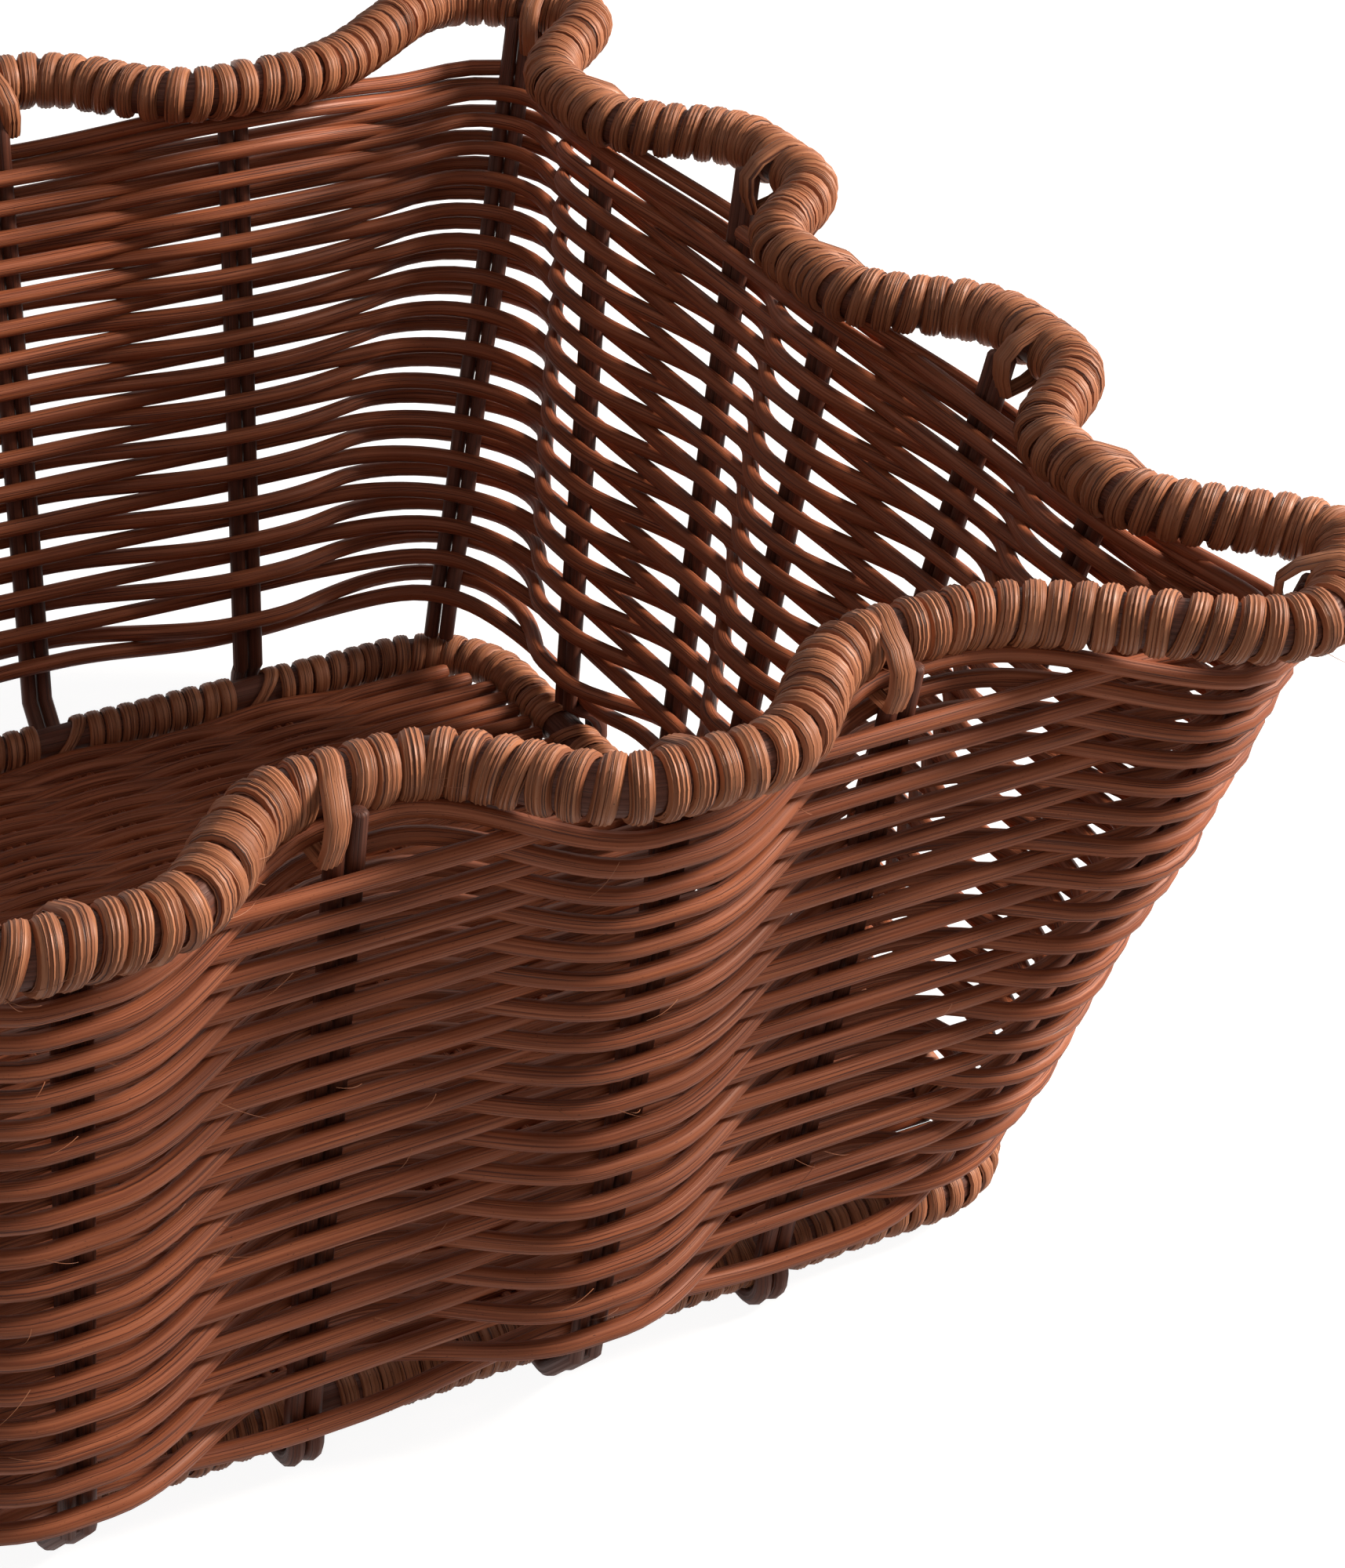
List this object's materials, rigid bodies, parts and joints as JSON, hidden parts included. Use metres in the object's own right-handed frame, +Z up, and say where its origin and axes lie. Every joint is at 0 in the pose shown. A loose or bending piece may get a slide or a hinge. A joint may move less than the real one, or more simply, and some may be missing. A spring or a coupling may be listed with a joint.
{
  "type": "scalloped rattan basket",
  "caption": "Rectangular woven rattan basket with flared walls of paired stakes and round weavers, a thick wrapped rim woven through the stake tops in scallops, and a wrapped foot hoop.",
  "frame": {"origin": "on the ground under the middle of the basket", "axes": "+X along the long side, +Y along the short side, +Z up"},
  "size_m": [0.3306, 0.2746, 0.1303],
  "materials": {
    "wrapping": "satin",
    "weave": "satin",
    "stakes": "satin"
  },
  "bodies": {
    "root": {"wrapped_rim": "wrapping", "wrapped_foot_hoop": "wrapping", "stake_front_1_a": "stakes", "stake_front_1_b": "stakes", "stake_front_2_a": "stakes", "stake_front_2_b": "stakes", "stake_front_3_a": "stakes", "stake_front_3_b": "stakes", "stake_front_4_a": "stakes", "stake_front_4_b": "stakes", "stake_front_5_a": "stakes", "stake_front_5_b": "stakes", "stake_back_1_a": "stakes", "stake_back_1_b": "stakes", "stake_back_2_a": "stakes", "stake_back_2_b": "stakes", "stake_back_3_a": "stakes", "stake_back_3_b": "stakes", "stake_back_4_a": "stakes", "stake_back_4_b": "stakes", "stake_back_5_a": "stakes", "stake_back_5_b": "stakes", "stake_left_1_a": "stakes", "stake_left_1_b": "stakes", "stake_left_2_a": "stakes", "stake_left_2_b": "stakes", "stake_left_3_a": "stakes", "stake_left_3_b": "stakes", "stake_left_4_a": "stakes", "stake_left_4_b": "stakes", "stake_left_5_a": "stakes", "stake_left_5_b": "stakes", "stake_right_1_a": "stakes", "stake_right_1_b": "stakes", "stake_right_2_a": "stakes", "stake_right_2_b": "stakes", "stake_right_3_a": "stakes", "stake_right_3_b": "stakes", "stake_right_4_a": "stakes", "stake_right_4_b": "stakes", "stake_right_5_a": "stakes", "stake_right_5_b": "stakes", "stake_corner_front_left_a": "stakes", "stake_corner_front_left_b": "stakes", "stake_corner_front_right_a": "stakes", "stake_corner_front_right_b": "stakes", "stake_corner_back_left_a": "stakes", "stake_corner_back_left_b": "stakes", "stake_corner_back_right_a": "stakes", "stake_corner_back_right_b": "stakes", "weaver_a": "weave", "weaver_b": "weave", "woven_floor": "weave"}
  },
  "joints": []
}
